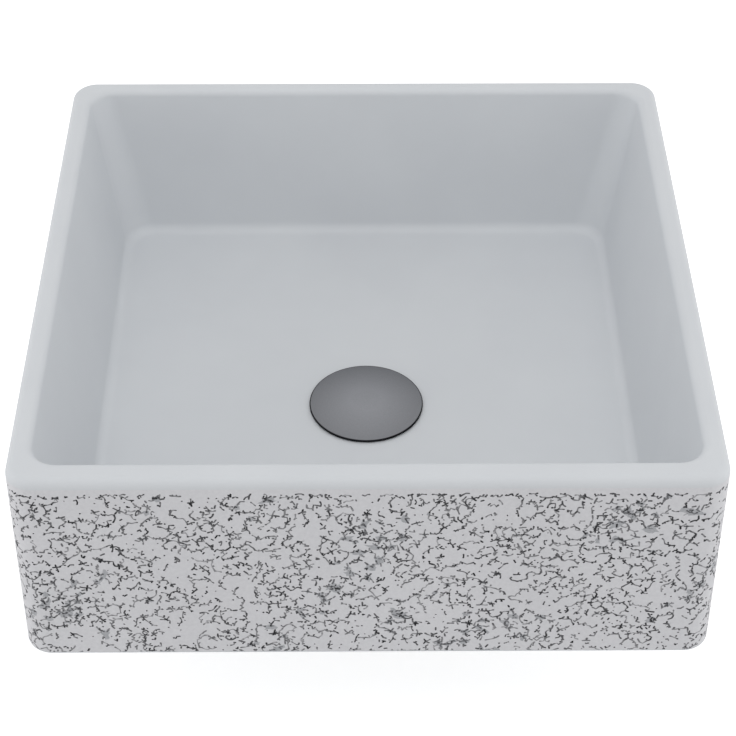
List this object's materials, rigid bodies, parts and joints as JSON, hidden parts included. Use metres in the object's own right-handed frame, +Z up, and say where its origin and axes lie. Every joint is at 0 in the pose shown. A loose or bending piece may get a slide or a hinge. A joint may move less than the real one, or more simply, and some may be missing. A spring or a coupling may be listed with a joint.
{
  "type": "countertop basin",
  "caption": "Square cast-stone vessel basin with a smooth bowl, a cracked relief on its outer walls and a press-top waste with clamp nut and tailpiece.",
  "frame": {"origin": "where the waste's vertical axis meets the flat underside that rests on the counter, at the middle of the counter's hole", "axes": "+Z up out of the bowl, +X to the right and -Y towards the user, so the waste stands forward of the basin's middle"},
  "size_m": [0.381, 0.381, 0.256],
  "materials": {
    "cast_stone": "matte pale grey, smooth in the bowl, cracked relief outside",
    "gunmetal_brass": "brass with a satin dark grey metallic coat",
    "raw_brass": "turned, uncoated",
    "stainless_steel": "drawn wire and rolled thread",
    "white_nylon": "moulded",
    "black_rubber": "moulded, matte"
  },
  "bodies": {
    "basin": {"basin_shell": "cast_stone", "drain_body": "gunmetal_brass", "flange_gasket": "black_rubber", "cartridge_housing": "raw_brass", "cartridge_collar": "raw_brass", "guide_seal": "black_rubber", "cartridge_oring": "black_rubber", "cartridge_spring": "stainless_steel", "tailpiece": "gunmetal_brass", "tailpiece_seal": "black_rubber"},
    "cap": {"drain_cap": "gunmetal_brass", "cap_seal": "black_rubber", "cap_stud": "stainless_steel", "stud_locknut": "raw_brass", "plunger": "raw_brass", "rotor_clip": "stainless_steel"},
    "rotor": {"cam_rotor": "white_nylon"},
    "clamp_washers": {"lower_gasket": "black_rubber", "friction_washer": "white_nylon"},
    "nut": {"clamp_nut": "raw_brass"}
  },
  "joints": [
    {"name": "cap_press", "type": "slide", "parent": "basin", "child": "cap", "axis": [0, 0, 1], "range_m": [0, 0.009], "deforming": ["cartridge_spring"]},
    {"name": "rotor_index", "type": "hinge", "parent": "cap", "child": "rotor", "pos_m": [0, 0, 0], "axis": [0, 0, 1], "range_deg": [0, 45]},
    {"name": "clamp_slide", "type": "slide", "parent": "basin", "child": "clamp_washers", "axis": [0, 0, 1], "range_m": [-0.02, 0.0197]},
    {"name": "nut_turn", "type": "hinge", "parent": "clamp_washers", "child": "nut", "pos_m": [0, 0, 0], "axis": [0, 0, 1], "range_deg": [-3120, 3080]}
  ],
  "couplings": [
    {"joint": "rotor_index", "follows": "cap_press", "rad_per_m": 87.25},
    {"joint": "clamp_slide", "follows": "nut_turn", "m_per_rad": 0.00036606}
  ]
}
